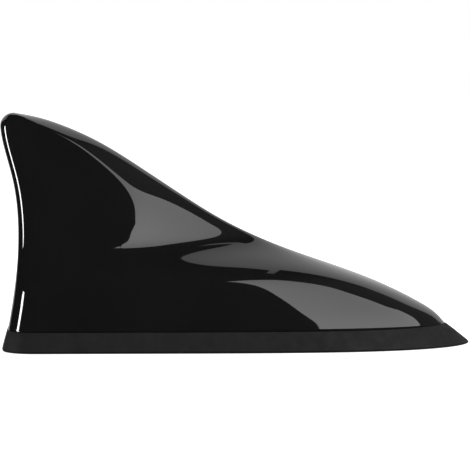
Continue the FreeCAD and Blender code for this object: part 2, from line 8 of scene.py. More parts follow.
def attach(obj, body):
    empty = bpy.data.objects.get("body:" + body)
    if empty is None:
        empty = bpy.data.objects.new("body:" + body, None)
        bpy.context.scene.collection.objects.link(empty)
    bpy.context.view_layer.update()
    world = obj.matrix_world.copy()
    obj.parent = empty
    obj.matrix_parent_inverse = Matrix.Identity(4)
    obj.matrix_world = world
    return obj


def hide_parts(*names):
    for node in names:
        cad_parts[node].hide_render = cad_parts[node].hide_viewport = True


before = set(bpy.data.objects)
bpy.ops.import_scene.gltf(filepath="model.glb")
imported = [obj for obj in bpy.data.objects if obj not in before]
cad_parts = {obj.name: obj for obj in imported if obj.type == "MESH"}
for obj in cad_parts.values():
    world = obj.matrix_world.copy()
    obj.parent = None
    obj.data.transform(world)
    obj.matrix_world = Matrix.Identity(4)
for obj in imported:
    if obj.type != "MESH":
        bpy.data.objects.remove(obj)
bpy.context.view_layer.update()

bl_info = {
    "name": "Shark-fin roof antenna",
    "version": (1, 0, 0),
    "blender": (4, 5, 0),
    "location": "3D View > Sidebar > Antenna",
    "description": "Gloss fin, rubber skirt, fasteners and studio for a car roof antenna",
    "category": "Add Mesh",
}

MM = 0.001

MATH = "ShaderNodeMath"

# Edges of the fin as shares of the length, from the crown's tail, and of the height, from the rim
# to the crown.
LEADING_EDGE = [(0.938, 0.030), (0.895, 0.099), (0.809, 0.193), (0.639, 0.332), (0.468, 0.500),
                (0.3825, 0.618), (0.2975, 0.743), (0.212, 0.860), (0.126, 0.946), (0.084, 0.976)]
TRAILING_EDGE = [(0.0357, 0.230), (0.0402, 0.430), (0.0287, 0.680), (0.0112, 0.822), (0.0012, 0.930)]

# Points of the skin's cage: loops up to the crown, loops round the crown, and steps of half a loop.
BODY_LOOPS = 36
CROWN_LOOPS = 7
TAIL_STEPS = 2
CORNER_STEPS = 4
FLANK_STEPS = 11
BEVEL_STEPS = 11
TIP_SHARE = 0.25
# Powers by which the points crowd towards the crease and the nose.
FLANK_CROWD = 1.7
CREASE_CROWD = 1.4
NOSE_CROWD = 2.2
# Most that a plan corner takes of the half width and of the chord, and least and most of the chord that lies
# ahead of the crease.
CORNER_OF_HALF = 0.8
CORNER_OF_CHORD = 0.45
BEVEL_OF_CHORD = (0.15, 0.7)
# Halvings that find a height on an edge line, and steps that measure its run.
HALVINGS = 50
WALK_STEPS = 600
# A length or a share that is as good as none.
TINY = 1e-9

# What the skirt's tree reads on each point: how far down the flare it is, how far it is tucked in, and the
# rim's two ends and half width.
SKIRT_ATTRIBUTES = ("down", "tuck", "tail_end", "nose_end", "half_span")
# Rows of the skirt: tucks and a drop that round the rim, in millimetres, shares of the way down the flare, a
# tuck where the foot starts, in millimetres, and shares of the foot's rounding, as height and tuck.
RIM_TUCKS = (0.4, 0.1)
RIM_DROP = 0.15
FLARE_SHARES = (0.2, 0.45, 0.7, 0.88, 0.97)
FOOT_TUCK = 0.03
FOOT_ROUNDING = ((0.6, 0.08), (0.2, 0.4), (0, 1))

# Screws: head width, head height and core width in millimetres, and whether they are driven from below.
SCREWS = {"base_screws": (5.2, 1.4, 2.4, True), "board_screws": (3.8, 1.3, 1.6, False)}
SCREW_TURNS = 8.0
# The head's top as a share of its foot, the radius of the core and of the thread's ridge as shares of the
# core's width, and the thread's run and lower end as shares of the length.
HEAD_TOP = 0.8
CORE_RADIUS = 0.42
RIDGE_RADIUS = 0.08
THREAD_RUN = 0.8
THREAD_END = -0.95
# Coils: thickness of the wire in millimetres.
COIL_WIRE = 0.8
COIL_TURNS = 6.0

# How far a plated finish strays from its roughness.
ROUGH_SPREAD = 0.08

# Lamps: azimuth from the camera's side and rise in degrees, distance, width and height in metres, and roll in
# degrees. They face a point that is LAMP_AIM millimetres above the roof.
SOFTBOX = (53.5, 32.4, 1.1, 1.48, 1.20, -5.8)
STRIP = (-82, -6, 0.9, 0.14, 0.8, 0)
LAMP_AIM = 30

# Corners of the floor, and of a lit panel with one corner folded back, in half widths and half heights.
SQUARE = ((-1, -1), (1, -1), (1, 1), (-1, 1))
PANEL_OUTLINE = ((-1, -1), (1, -1), (1, 1), (-0.3, 1), (-1, 0.6))
# The floor lies just under the foam, so that no two faces share a plane. Its level, its half width and the
# drapes' radius are in metres. It reflects a share of the light, it glows for the camera, and the gloss
# doesn't mirror it.
FLOOR_LEVEL = -0.0001
FLOOR_HALF = 2
FLOOR_WHITE = 0.8
FLOOR_GLOW = 0.9
DRAPE_RADIUS = 3
# The drapes' glow rises between these directions ahead of the nose.
GLOW_FROM = 0.25
GLOW_TO = 0.5
# The lacquer mirrors a white backdrop through an opening in black drapes. A direction is in the opening
# when it lies on the inner side of at least one plane of each group: the plane's normal, and its offset.
OPENING = [
    [((0, 1, -0.2), 0)],
    [((0, 1, -0.4), 0), ((-1, 0, 0.23), 0)],
    [((-0.85, 1, -0.4), 0), ((-1, 0, 0.23), 0)],
    [((0, 1, -0.46), 0), ((1, 0, -0.2), 0)],
    [((1, 0.8, 0), 0)],
    [((0, 0.577, 1), 0)],
    [((1, 0, -0.03), 0), ((0, 0, -1), 0.64)],
]


def linear(code):
    """Linear colour of an sRGB hex code."""
    parts = [int(code[i:i + 2], 16) / 255 for i in (0, 2, 4)]
    return [p / 12.92 if p <= 0.04045 else ((p + 0.055) / 1.055) ** 2.4 for p in parts]


def length_prop(name, value, description):
    """A length in millimetres as a property in metres."""
    return bpy.props.FloatProperty(name=name, description=description, default=value * MM, unit="LENGTH",
                                   precision=5)


def number_prop(name, value, description):
    """A plain number as a property."""
    return bpy.props.FloatProperty(name=name, description=description, default=value)


def colour_prop(name, code, description):
    """A colour given as an sRGB hex code."""
    return bpy.props.FloatVectorProperty(name=name, description=description, default=linear(code), size=3,
                                         subtype="COLOR", min=0, max=1)


class FinSizes(bpy.types.PropertyGroup):
    """Sizes of the fin and its skirt."""
    length: length_prop("Length", 160, "Crown's tail to the skirt's tip")
    width: length_prop("Width", 70, "Across the skirt's foot")
    height: length_prop("Height", 79, "Roof to crown")
    wall: length_prop("Wall", 2.2, "Shell wall")
    rim: length_prop("Rim", 7, "Roof to the shell's rim")
    proud: length_prop("Skirt step", 0.3, "Step from the shell out to the skirt")
    flare: length_prop("Skirt flare", 2.3, "Spread of the skirt's foot at the sides")
    tail_reach: length_prop("Skirt tail", 1.6, "Spread of the skirt's foot at the tail")
    nose_reach: length_prop("Skirt nose", 7.6, "Reach of the skirt's foot past the shell's nose")
    foot: length_prop("Skirt foot", 0.9, "Rounding of the skirt's foot")
    lip: length_prop("Skirt lip", 6.5, "Inward lip under the floor")
    pad: length_prop("Pad", 1.2, "Thickness of the adhesive pad")
    plate_rim: length_prop("Plate rim", 2, "Plate's rim above the shell's rim")
    tail_foot: length_prop("Tail foot", 3.2, "Rim at the tail, in from the crown's tail")
    crown_radius: length_prop("Crown radius", 4.6, "Rounding of the crown")
    crown_setback: length_prop("Crown setback", 4.6, "Top of the crown, in from its tail")
    shoulder_half: length_prop("Shoulder half", 29.9, "Half width where the flank starts to flare")
    shoulder: length_prop("Shoulder", 22.5, "Height where the flank starts to flare")
    shoulder_tail: length_prop("Shoulder at tail", 15, "The same height at the tail")
    shoulder_x: length_prop("Shoulder peak", 6.5, "Where the shoulder starts to fall towards the tail")
    blade: length_prop("Blade", 39.7, "Height where the flare has become the blade")
    blade_tail: length_prop("Blade at tail", 33, "The same height at the tail")
    blade_root: length_prop("Blade root", 35.6, "Blade thickness at its root")
    blade_tip: length_prop("Blade tip", 15.5, "Blade thickness at the crown")
    blade_power: number_prop("Blade thinning", 1.36, "How early the blade thins above its root")
    body_corner: length_prop("Body corner", 9.8, "Plan corner of the body at the tail")
    blade_corner: length_prop("Blade corner", 5, "Plan corner of the blade at the tail")
    sharp_from: length_prop("Bevel from", 32.2, "Height where the leading bevel starts to sharpen")
    sharp_to: length_prop("Bevel to", 60.5, "Height where it is sharpest")
    edge_radius: length_prop("Edge radius", 1.4, "Rounding of the leading edge at the root")
    edge_radius_tip: length_prop("Edge radius, tip", 3.7, "Rounding of the leading edge near the crown")
    bevel: number_prop("Bevel", 0.296, "Slope of the leading bevel at the root")
    bevel_tip: number_prop("Bevel, tip", 0.79, "Slope of the leading bevel near the crown")
    crease: number_prop("Crease", 10, "How crisply the bevel meets the flank at the root")
    crease_tip: number_prop("Crease, tip", 22, "How crisply they meet near the crown")
    body_late: number_prop("Body nose", 6.4, "How late the body's nose closes at the rim")
    body_late_top: number_prop("Body nose, top", 5.9, "How late it closes at the shoulder")
    body_round: number_prop("Body round", 1.62, "How round the body's nose is at the rim")
    body_round_top: number_prop("Body round, top", 2.2, "How round it is at the shoulder")
    taper: number_prop("Taper", 0.115, "Narrowing of the body towards its nose at the rim")
    taper_top: number_prop("Taper, top", 0.07, "Narrowing at the shoulder")
    bulge: number_prop("Tail bulge", 0.035, "Rounding of the tail face in plan")
    nose_inset: number_prop("Nose inset", 2, "Inset at the nose for each unit at the sides")


class FinishColours(bpy.types.PropertyGroup):
    """Colours of the finishes."""
    lacquer: colour_prop("Lacquer", "151515", "Gloss black shell")
    rubber: colour_prop("Rubber", "19191a", "Matte rubber skirt and gland")
    plate: colour_prop("Plate", "242425", "Moulded floor")
    foam: colour_prop("Foam", "303032", "Adhesive pad")
    zinc: colour_prop("Zinc", "bfc1c4", "Screws")
    resist: colour_prop("Solder resist", "1d5a34", "Circuit boards")
    tin: colour_prop("Tin", "c9c9c7", "Cover and brackets")
    brass: colour_prop("Brass", "d9bb86", "Cable socket")
    copper: colour_prop("Copper", "c9804f", "Coil wire")
    ceramic: colour_prop("Ceramic", "b09a7c", "Small block parts")


class StudioSizes(bpy.types.PropertyGroup):
    """Lamps and camera."""
    softbox_foot: number_prop("Softbox foot", 3.9, "Radiance at the foot of the large lamp in front")
    softbox_head: number_prop("Softbox head", 2.4, "Radiance at its head")
    strip_level: number_prop("Strip", 30, "Radiance of the narrow lamp behind the tail")
    ambient: number_prop("Ambient", 0.35, "Level of the even light")
    scrim: number_prop("Scrim", 0.72, "Share of the backdrop's light that the opening's scrim lets through")
    glow: number_prop("Glow", 0.075, "Level of the drapes ahead of the nose")
    camera_distance: length_prop("Camera distance", 1200, "Camera to the object's middle")
    camera_rise: number_prop("Camera rise", 4.6, "Camera above the horizon, in degrees")
    view_width: length_prop("View width", 160.5, "Width that the image takes in at the object's middle")
    view_centre: length_prop("View centre", 37.15, "Height at the image's middle")


def blend(low, high, share):
    """Value between two others."""
    return low + (high - low) * share


def clamp(share):
    """Share kept between 0 and 1."""
    return min(max(share, 0), 1)


def ease(share):
    """Smooth step from 0 to 1, level at both ends."""
    share = clamp(share)
    return share ** 3 * (share * (6 * share - 15) + 10)


class EdgeLine:
    """Smooth line in the centre plane through given points, from the rim up to the crown."""

    def __init__(self, points):
        self.points = points
        count = len(points)
        steps = [math.dist(a, b) for a, b in zip(points, points[1:])]
        self.steps = steps
        self.bends = []
        for axis in (0, 1):
            values = [p[axis] for p in points]
            upper = [0.0] * count
            right = [0.0] * count
            for i in range(1, count - 1):
                slope = (values[i + 1] - values[i]) / steps[i] - (values[i] - values[i - 1]) / steps[i - 1]
                pivot = 2 * (steps[i - 1] + steps[i]) - steps[i - 1] * upper[i - 1]
                upper[i] = steps[i] / pivot
                right[i] = (6 * slope - steps[i - 1] * right[i - 1]) / pivot
            bends = [0.0] * count
            for i in range(count - 2, 0, -1):
                bends[i] = right[i] - upper[i] * bends[i + 1]
            self.bends.append(bends)

    def at(self, place):
        """Point at a place that counts the given points from 0."""
        i = min(int(place), len(self.steps) - 1)
        step = self.steps[i]
        ahead = (place - i) * step
        back = step - ahead
        found = []
        for axis in (0, 1):
            low, high = self.bends[axis][i], self.bends[axis][i + 1]
            start, end = self.points[i][axis], self.points[i + 1][axis]
            found.append((low * back ** 3 + high * ahead ** 3) / (6 * step)
                         + (start / step - low * step / 6) * back + (end / step - high * step / 6) * ahead)
        return found

    def x_at(self, level):
        """Where the line passes a height."""
        low, high = 0.0, float(len(self.steps))
        for _ in range(HALVINGS):
            middle = (low + high) / 2
            if self.at(middle)[1] < level:
                low = middle
            else:
                high = middle
        return self.at(high)[0]

    def levels(self, count, top):
        """Heights of evenly spaced points from the foot of the line up to a height."""
        walk = [self.at(k * len(self.steps) / WALK_STEPS) for k in range(WALK_STEPS + 1)]
        walk = [p for p in walk if p[1] <= top]
        run = [0.0]
        for a, b in zip(walk, walk[1:]):
            run.append(run[-1] + math.dist(a, b))
        found = []
        for k in range(count):
            want = run[-1] * k / (count - 1)
            i = min(next(j for j, r in enumerate(run) if r >= want - TINY), len(run) - 1)
            found.append(walk[i][1])
        return found


class FinRule:
    """Section rule of the fin: horizontal loops between a leading and a trailing edge."""

    def __init__(self, sizes):
        self.s = sizes
        self.tail = -sizes.length / 2
        self.rim_half = sizes.width / 2 - sizes.flare - sizes.proud
        self.nose = sizes.length / 2 - sizes.nose_reach - sizes.nose_inset * sizes.proud
        self.crown_x = self.tail + sizes.crown_setback
        self.leading = self.edge(self.nose, LEADING_EDGE, self.crown_x)
        self.trailing = self.edge(self.tail + sizes.tail_foot, TRAILING_EDGE, self.tail)

    def edge(self, start, shares, end):
        """Edge line from the rim up to the crown."""
        s = self.s
        points = [(self.tail + along * s.length, blend(s.rim, s.height, up)) for along, up in shares]
        return EdgeLine([(start, s.rim)] + points + [(end, s.height)])

    def crown_share(self, level):
        """Share of the full section that is left as the crown rounds over."""
        above = max(0, 1 - (self.s.height - level) / self.s.crown_radius)
        return math.sqrt(max(0, 1 - above ** 2))

    def tail_x(self, level):
        """Trailing edge, rounded over at the crown."""
        return blend(self.crown_x, self.trailing.x_at(level), self.crown_share(level))

    def turn(self, level, x):
        """How far the body has turned into the blade, 0 to 1."""
        s = self.s
        run = clamp((x - self.tail) / (s.shoulder_x - self.tail))
        low = blend(s.shoulder_tail, s.shoulder, run)
        return ease((level - low) / (blend(s.blade_tail, s.blade, run) - low))

    def half_loop(self, level, nose_x, inset):
        """Points of one side of a section, from the tail's middle to the nose."""
        s = self.s
        tail = self.tail_x(level) + inset
        nose = nose_x - s.nose_inset * inset
        chord = nose - tail
        crown = self.crown_share(level)
        draft = (self.rim_half - s.shoulder_half) / (s.shoulder - s.rim)
        body_half = (self.rim_half - draft * (level - s.rim)) * crown - inset
        up = (level - s.blade) / (s.height - s.blade)
        thin = (1 - up) ** s.blade_power
        blade_half = blend(s.blade_tip, s.blade_root, thin) / 2 * crown - inset
        rise = clamp((level - s.rim) / (s.shoulder - s.rim))
        sharp = clamp((level - s.sharp_from) / (s.sharp_to - s.sharp_from))
        sharp = sharp * sharp * (3 - 2 * sharp)
        slope = blend(s.bevel, s.bevel_tip, sharp)
        radius = blend(s.edge_radius, s.edge_radius_tip, sharp)
        crisp = blend(s.crease, s.crease_tip, sharp)

        def flank(x):
            along = clamp((x - tail) / chord)
            close = 1 - along ** blend(s.body_late, s.body_late_top, rise)
            body = body_half * (1 - blend(s.taper, s.taper_top, rise) * along)
            body *= close ** (1 / blend(s.body_round, s.body_round_top, rise))
            ahead = max(nose - x, TINY)
            bevel = math.sqrt((slope * ahead) ** 2 + 2 * radius * ahead)
            blade = blade_half * (1 + (blade_half / bevel) ** crisp) ** (-1 / crisp)
            return blend(body, blade, self.turn(level, x))

        share = self.turn(level, tail)
        half = blend(body_half, blade_half, share)
        corner = blend(s.body_corner, s.blade_corner, share)
        corner = min(corner, CORNER_OF_HALF * half, CORNER_OF_CHORD * chord)
        side = flank(tail + corner)
        points = []
        for step in range(TAIL_STEPS):
            y = (side - corner) * step / TAIL_STEPS
            points.append(Vector((tail + s.bulge * half * (y / half) ** 2, y, level)))
        start = tail + s.bulge * half * ((side - corner) / half) ** 2
        for step in range(CORNER_STEPS):
            angle = math.pi / 2 * step / CORNER_STEPS
            x = blend(start, tail + corner, 1 - math.cos(angle))
            points.append(Vector((x, side - corner * (1 - math.sin(angle)), level)))
        reach = (math.sqrt(radius ** 2 + (slope * blade_half) ** 2) - radius) / slope ** 2
        least, most = [part * chord for part in BEVEL_OF_CHORD]
        crease = nose - min(max(reach, least), most)
        places = []
        for step in range(FLANK_STEPS):
            run = 1 - (1 - step / FLANK_STEPS) ** FLANK_CROWD
            places.append(blend(tail + corner, crease, run))
        for step in range(BEVEL_STEPS):
            run = 1 - (1 - (step / BEVEL_STEPS) ** CREASE_CROWD) ** NOSE_CROWD
            places.append(blend(crease, nose, run))
        points += [Vector((x, flank(x), level)) for x in places]
        points.append(Vector((nose, 0, level)))
        return points

    def loop(self, level, nose_x, inset=0.0):
        """Closed section from the tail's middle round by the right side."""
        left = self.half_loop(level, nose_x, inset)
        right = [Vector((p.x, -p.y, p.z)) for p in left[1:-1]]
        return [left[0]] + right + [left[-1]] + left[-2:0:-1]

    def fin_loops(self):
        """Loops of the skin, evenly spaced up the leading edge and closer round the crown."""
        s = self.s
        levels = self.leading.levels(BODY_LOOPS, s.height - s.crown_radius)
        for k in range(1, CROWN_LOOPS):
            angle = math.pi / 2 * (1 - k / CROWN_LOOPS)
            levels.append(s.height - s.crown_radius * (1 - math.cos(angle)))
        rows = [self.loop(level, self.leading.x_at(level)) for level in levels]
        tip = Vector((self.crown_x, 0, s.height))
        rows.append([tip + (Vector((p.x, p.y, s.height)) - tip) * TIP_SHARE for p in rows[-1]])
        return rows


def raised_ring(ring):
    """Points whose closed smooth curve passes through the points of a ring."""
    count = len(ring)
    return [ring[i] * (4 / 3) - (ring[i - 1] + ring[(i + 1) % count]) / 6 for i in range(count)]


def raised(rows):
    """Cage points whose subdivision surface passes through the given loops."""
    cage = [raised_ring(row) for row in rows]
    middle = []
    for below, here, above in zip(cage, cage[1:], cage[2:]):
        middle.append([h * (4 / 3) - (b + a) / 6 for b, h, a in zip(below, here, above)])
    return [cage[0]] + middle + [cage[-1]]


def mesh_of_rows(name, rows, ring=False):
    """Smooth mesh of quads between closed loops: a ring of rows, or a skin with a face over its last row."""
    count = len(rows[0])
    faces = []
    for j in range(len(rows) if ring else len(rows) - 1):
        low, high = j * count, (j + 1) % len(rows) * count
        for i in range(count):
            n = (i + 1) % count
            faces.append((low + i, low + n, high + n, high + i))
    if not ring:
        faces.append([(len(rows) - 1) * count + i for i in range(count)])
    mesh = bpy.data.meshes.new(name)
    mesh.from_pydata([p for row in rows for p in row], [], faces)
    work = bmesh.new()
    work.from_mesh(mesh)
    bmesh.ops.recalc_face_normals(work, faces=work.faces)
    work.to_mesh(mesh)
    work.free()
    mesh.polygons.foreach_set("use_smooth", [True] * len(mesh.polygons))
    return mesh


def add_object(name, data):
    """Object at the origin, linked into the scene."""
    item = bpy.data.objects.new(name, data)
    bpy.context.scene.collection.objects.link(item)
    return item


def keep(item, nodes):
    """Let a finished piece stand for CAD nodes on the one body."""
    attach(item, "root")
    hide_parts(*nodes)


def add(tree, kind, inputs=(), **settings):
    """Add a node, set its attributes and fill its inputs, by name or in order.

    An input takes a value, a socket, or a node that stands for its first enabled output.
    """
    node = tree.nodes.new(kind)
    for name, value in settings.items():
        setattr(node, name, value)
    pairs = inputs.items() if isinstance(inputs, dict) else enumerate(inputs)
    for name, value in pairs:
        if isinstance(value, bpy.types.Node):
            value = next(s for s in value.outputs if s.enabled)
        if isinstance(value, bpy.types.NodeSocket):
            tree.links.new(value, node.inputs[name])
        else:
            node.inputs[name].default_value = value
    return node


def plain_mesh(item):
    """Turn an object's evaluated geometry into its own plain mesh."""
    graph = bpy.context.evaluated_depsgraph_get()
    mesh = bpy.data.meshes.new_from_object(item.evaluated_get(graph))
    item.modifiers.clear()
    item.data = mesh
    return item


def new_material(name):
    """Material with its tree and its shader, and the Object coordinates."""
    material = bpy.data.materials.new(name)
    material.use_nodes = True
    tree = material.node_tree
    place = add(tree, "ShaderNodeTexCoord").outputs["Object"]
    return material, tree, tree.nodes["Principled BSDF"], place


def mottle(tree, place, grain, low=0.0, high=1.0):
    """Soft random values between two limits, with a grain in millimetres."""
    noise = add(tree, "ShaderNodeTexNoise", {"Vector": place, "Scale": 1 / (grain * MM), "Detail": 3})
    return add(tree, "ShaderNodeMapRange", {
        "Value": noise, "From Min": 0.3, "From Max": 0.7, "To Min": low, "To Max": high})


def dress(tree, shader, colour, shade, cloud, rough, height, depth, strength):
    """Give a shader a colour that a cloud darkens by a share, a roughness, and a relief in millimetres."""
    dark = (*[c * (1 - shade) for c in colour], 1)
    base = add(tree, "ShaderNodeMix", {"Factor": cloud, "A": dark, "B": (*colour, 1)}, data_type="RGBA")
    relief = add(tree, "ShaderNodeBump", {"Height": height, "Strength": strength, "Distance": depth * MM})
    tree.links.new(base.outputs["Result"], shader.inputs["Base Color"])
    tree.links.new(rough.outputs["Result"], shader.inputs["Roughness"])
    tree.links.new(relief.outputs["Normal"], shader.inputs["Normal"])


def lacquered_abs(colours):
    """Injection-moulded ABS under black lacquer: deep mirror gloss with a very slight orange peel."""
    material, tree, shader, place = new_material("lacquered_abs")
    dress(tree, shader, colours.lacquer, shade=0.12, cloud=mottle(tree, place, 18),
          rough=mottle(tree, place, 9, 0.02, 0.045), height=mottle(tree, place, 2.6),
          depth=0.0012, strength=0.6)
    shader.inputs["IOR"].default_value = 1.5
    return material


def moulded_rubber(colours, name="moulded_rubber"):
    """Compression-moulded EPDM rubber: matte, with a fine grain and a faint bloom."""
    material, tree, shader, place = new_material(name)
    # A grain of 0.25 mm is finer than the image shows, so it is drawn at 0.5 mm.
    dress(tree, shader, colours.rubber, shade=0.25, cloud=mottle(tree, place, 7),
          rough=mottle(tree, place, 3, 0.62, 0.78), height=mottle(tree, place, 0.5), depth=0.02, strength=0.5)
    shader.inputs["IOR"].default_value = 1.4
    shader.inputs["Specular IOR Level"].default_value = 0.3
    return material


def grained_abs(colours):
    """Moulded ABS from a spark-eroded tool: dull black with an even fine grain."""
    material, tree, shader, place = new_material("grained_abs")
    dress(tree, shader, colours.plate, shade=0.2, cloud=mottle(tree, place, 6),
          rough=mottle(tree, place, 2, 0.45, 0.6), height=mottle(tree, place, 0.4), depth=0.02, strength=0.6)
    return material


def acrylic_foam(colours):
    """Closed-cell acrylic foam tape: dark grey, with small cells in its cut faces."""
    material, tree, shader, place = new_material("acrylic_foam")
    # Cells of 0.2 mm are drawn at 0.6 mm, so that they show.
    cells = add(tree, "ShaderNodeTexVoronoi", {"Vector": place, "Scale": 1 / (0.6 * MM)})
    dress(tree, shader, colours.foam, shade=0.4, cloud=cells, rough=mottle(tree, place, 4, 0.8, 0.95),
          height=cells, depth=0.1, strength=0.5)
    return material


def plated_metal(name, colour, rough, grain):
    """Plated sheet or turned metal: bright, with a dull cloud and fine marks from forming."""
    material, tree, shader, place = new_material(name)
    dress(tree, shader, colour, shade=0.15, cloud=mottle(tree, place, 3),
          rough=mottle(tree, place, grain, rough - ROUGH_SPREAD, rough + ROUGH_SPREAD),
          height=mottle(tree, place, grain), depth=0.01, strength=0.4)
    shader.inputs["Metallic"].default_value = 1
    return material


def resist_board(colours):
    """Glass-epoxy laminate under green solder resist: the weave shows faintly through the coat."""
    material, tree, shader, place = new_material("resist_board")
    weave = add(tree, "ShaderNodeTexChecker", {"Vector": place, "Scale": 1 / (0.5 * MM)}).outputs["Fac"]
    dress(tree, shader, colours.resist, shade=0.18, cloud=weave, rough=mottle(tree, place, 2, 0.28, 0.4),
          height=mottle(tree, place, 0.5), depth=0.01, strength=0.4)
    return material


def fired_ceramic(colours):
    """Fired ceramic chip: dull tan with fine speckle."""
    material, tree, shader, place = new_material("fired_ceramic")
    speckle = mottle(tree, place, 0.3)
    dress(tree, shader, colours.ceramic, shade=0.25, cloud=speckle, rough=mottle(tree, place, 0.8, 0.5, 0.65),
          height=speckle, depth=0.01, strength=0.4)
    return material


def node_group(name, sizes):
    """Geometry node tree with a geometry input, named length inputs and a material input."""
    tree = bpy.data.node_groups.new(name, "GeometryNodeTree")
    sockets = tree.interface
    sockets.new_socket("Geometry", in_out="INPUT", socket_type="NodeSocketGeometry")
    for label in sizes:
        sockets.new_socket(label, in_out="INPUT", socket_type="NodeSocketFloat")
    sockets.new_socket("Material", in_out="INPUT", socket_type="NodeSocketMaterial")
    sockets.new_socket("Geometry", in_out="OUTPUT", socket_type="NodeSocketGeometry")
    return tree, add(tree, "NodeGroupInput").outputs


def close_group(tree, geometry, material):
    """End a tree with realised, smooth and painted geometry."""
    whole = add(tree, "GeometryNodeRealizeInstances", [geometry])
    smooth = add(tree, "GeometryNodeSetShadeSmooth", {"Geometry": whole})
    paint = add(tree, "GeometryNodeSetMaterial", {"Geometry": smooth, "Material": material})
    add(tree, "NodeGroupOutput", [paint])


def run_group(item, tree, values):
    """Run a tree on an object and keep the result as a plain mesh."""
    modifier = item.modifiers.new(tree.name, "NODES")
    modifier.node_group = tree
    for socket in tree.interface.items_tree:
        if socket.in_out == "INPUT" and socket.name in values:
            modifier[socket.identifier] = values[socket.name]
    return plain_mesh(item)


def skirt_tree():
    """Spread the lower rows of the skirt outwards from the rim, then smooth it."""
    tree, given = node_group("skirt", ("Flare", "Tail Reach", "Nose Reach"))
    x, y, z = add(tree, "ShaderNodeSeparateXYZ", [add(tree, "GeometryNodeInputPosition")]).outputs
    down, tuck, lowest, highest, half = [
        add(tree, "GeometryNodeInputNamedAttribute", {"Name": name}) for name in SKIRT_ATTRIBUTES]
    grown = []
    for label in ("Tail Reach", "Nose Reach", "Flare"):
        full = add(tree, MATH, [given[label], down], operation="MULTIPLY")
        grown.append(add(tree, MATH, [full, tuck], operation="SUBTRACT"))
    along = add(tree, "ShaderNodeMapRange", {
        "Value": x, "From Min": lowest, "From Max": highest,
        "To Min": add(tree, MATH, [lowest, grown[0]], operation="SUBTRACT"),
        "To Max": add(tree, MATH, [highest, grown[1]], operation="ADD")}, clamp=False)
    wide = add(tree, MATH, [add(tree, MATH, [half, grown[2]], operation="ADD"), half], operation="DIVIDE")
    across = add(tree, MATH, [y, wide], operation="MULTIPLY")
    moved = add(tree, "ShaderNodeCombineXYZ", [along, across, z])
    spread = add(tree, "GeometryNodeSetPosition", {"Geometry": given["Geometry"], "Position": moved})
    fine = add(tree, "GeometryNodeSubdivisionSurface", {"Mesh": spread, "Level": 2})
    close_group(tree, fine, given["Material"])
    return tree


def screw_tree():
    """Screws with a pan head, a core and a rolled thread, one on each point."""
    tree, given = node_group("screws", ("Head Width", "Head Height", "Core Width", "Length", "Turns", "Side"))
    head_radius = add(tree, MATH, [given["Head Width"], 0.5], operation="MULTIPLY")
    head = add(tree, "GeometryNodeMeshCone", {
        "Radius Top": add(tree, MATH, [head_radius, HEAD_TOP], operation="MULTIPLY"),
        "Radius Bottom": head_radius, "Depth": given["Head Height"], "Vertices": 28, "Side Segments": 2})
    core_radius = add(tree, MATH, [given["Core Width"], CORE_RADIUS], operation="MULTIPLY")
    core = add(tree, "GeometryNodeMeshCylinder", {
        "Radius": core_radius, "Depth": given["Length"], "Vertices": 20})
    thread = add(tree, "GeometryNodeCurveSpiral", {
        "Rotations": given["Turns"], "Start Radius": core_radius, "End Radius": core_radius,
        "Height": add(tree, MATH, [given["Length"], THREAD_RUN], operation="MULTIPLY"), "Resolution": 16})
    ridge = add(tree, MATH, [given["Core Width"], RIDGE_RADIUS], operation="MULTIPLY")
    tooth = add(tree, "GeometryNodeCurvePrimitiveCircle", {"Radius": ridge, "Resolution": 4})
    roll = add(tree, "GeometryNodeCurveToMesh", {"Curve": thread, "Profile Curve": tooth, "Fill Caps": True})
    screw = add(tree, "GeometryNodeJoinGeometry", [head])
    for part, share in ((core, -0.5), (roll, THREAD_END)):
        drop = add(tree, MATH, [given["Length"], share], operation="MULTIPLY")
        shift = add(tree, "ShaderNodeCombineXYZ", {"Z": drop})
        sunk = add(tree, "GeometryNodeTransform", {"Geometry": part, "Translation": shift})
        tree.links.new(sunk.outputs["Geometry"], screw.inputs["Geometry"])
    half_turn = add(tree, MATH, [given["Side"], math.pi], operation="MULTIPLY")
    turned = add(tree, "GeometryNodeTransform", {
        "Geometry": screw, "Rotation": add(tree, "ShaderNodeCombineXYZ", {"X": half_turn})})
    placed = add(tree, "GeometryNodeInstanceOnPoints", {"Points": given["Geometry"], "Instance": turned})
    close_group(tree, placed, given["Material"])
    return tree


def coil_tree():
    """Air-wound coils lying across the board, one on each point."""
    tree, given = node_group("coils", ("Width", "Length", "Wire", "Turns"))
    middle = add(tree, MATH, [given["Width"], given["Wire"]], operation="SUBTRACT")
    radius = add(tree, MATH, [middle, 0.5], operation="MULTIPLY")
    run = add(tree, MATH, [given["Length"], given["Wire"]], operation="SUBTRACT")
    wind = add(tree, "GeometryNodeCurveSpiral", {
        "Rotations": given["Turns"], "Start Radius": radius, "End Radius": radius, "Height": run,
        "Resolution": 24})
    wire_radius = add(tree, MATH, [given["Wire"], 0.5], operation="MULTIPLY")
    wire = add(tree, "GeometryNodeCurvePrimitiveCircle", {"Radius": wire_radius, "Resolution": 10})
    tube = add(tree, "GeometryNodeCurveToMesh", {"Curve": wind, "Profile Curve": wire, "Fill Caps": True})
    shift = add(tree, "ShaderNodeCombineXYZ", {"Z": add(tree, MATH, [run, -0.5], operation="MULTIPLY")})
    centred = add(tree, "GeometryNodeTransform", {"Geometry": tube, "Translation": shift})
    laid = add(tree, "GeometryNodeTransform", {"Geometry": centred, "Rotation": (math.pi / 2, 0, 0)})
    placed = add(tree, "GeometryNodeInstanceOnPoints", {"Points": given["Geometry"], "Instance": laid})
    close_group(tree, placed, given["Material"])
    return tree


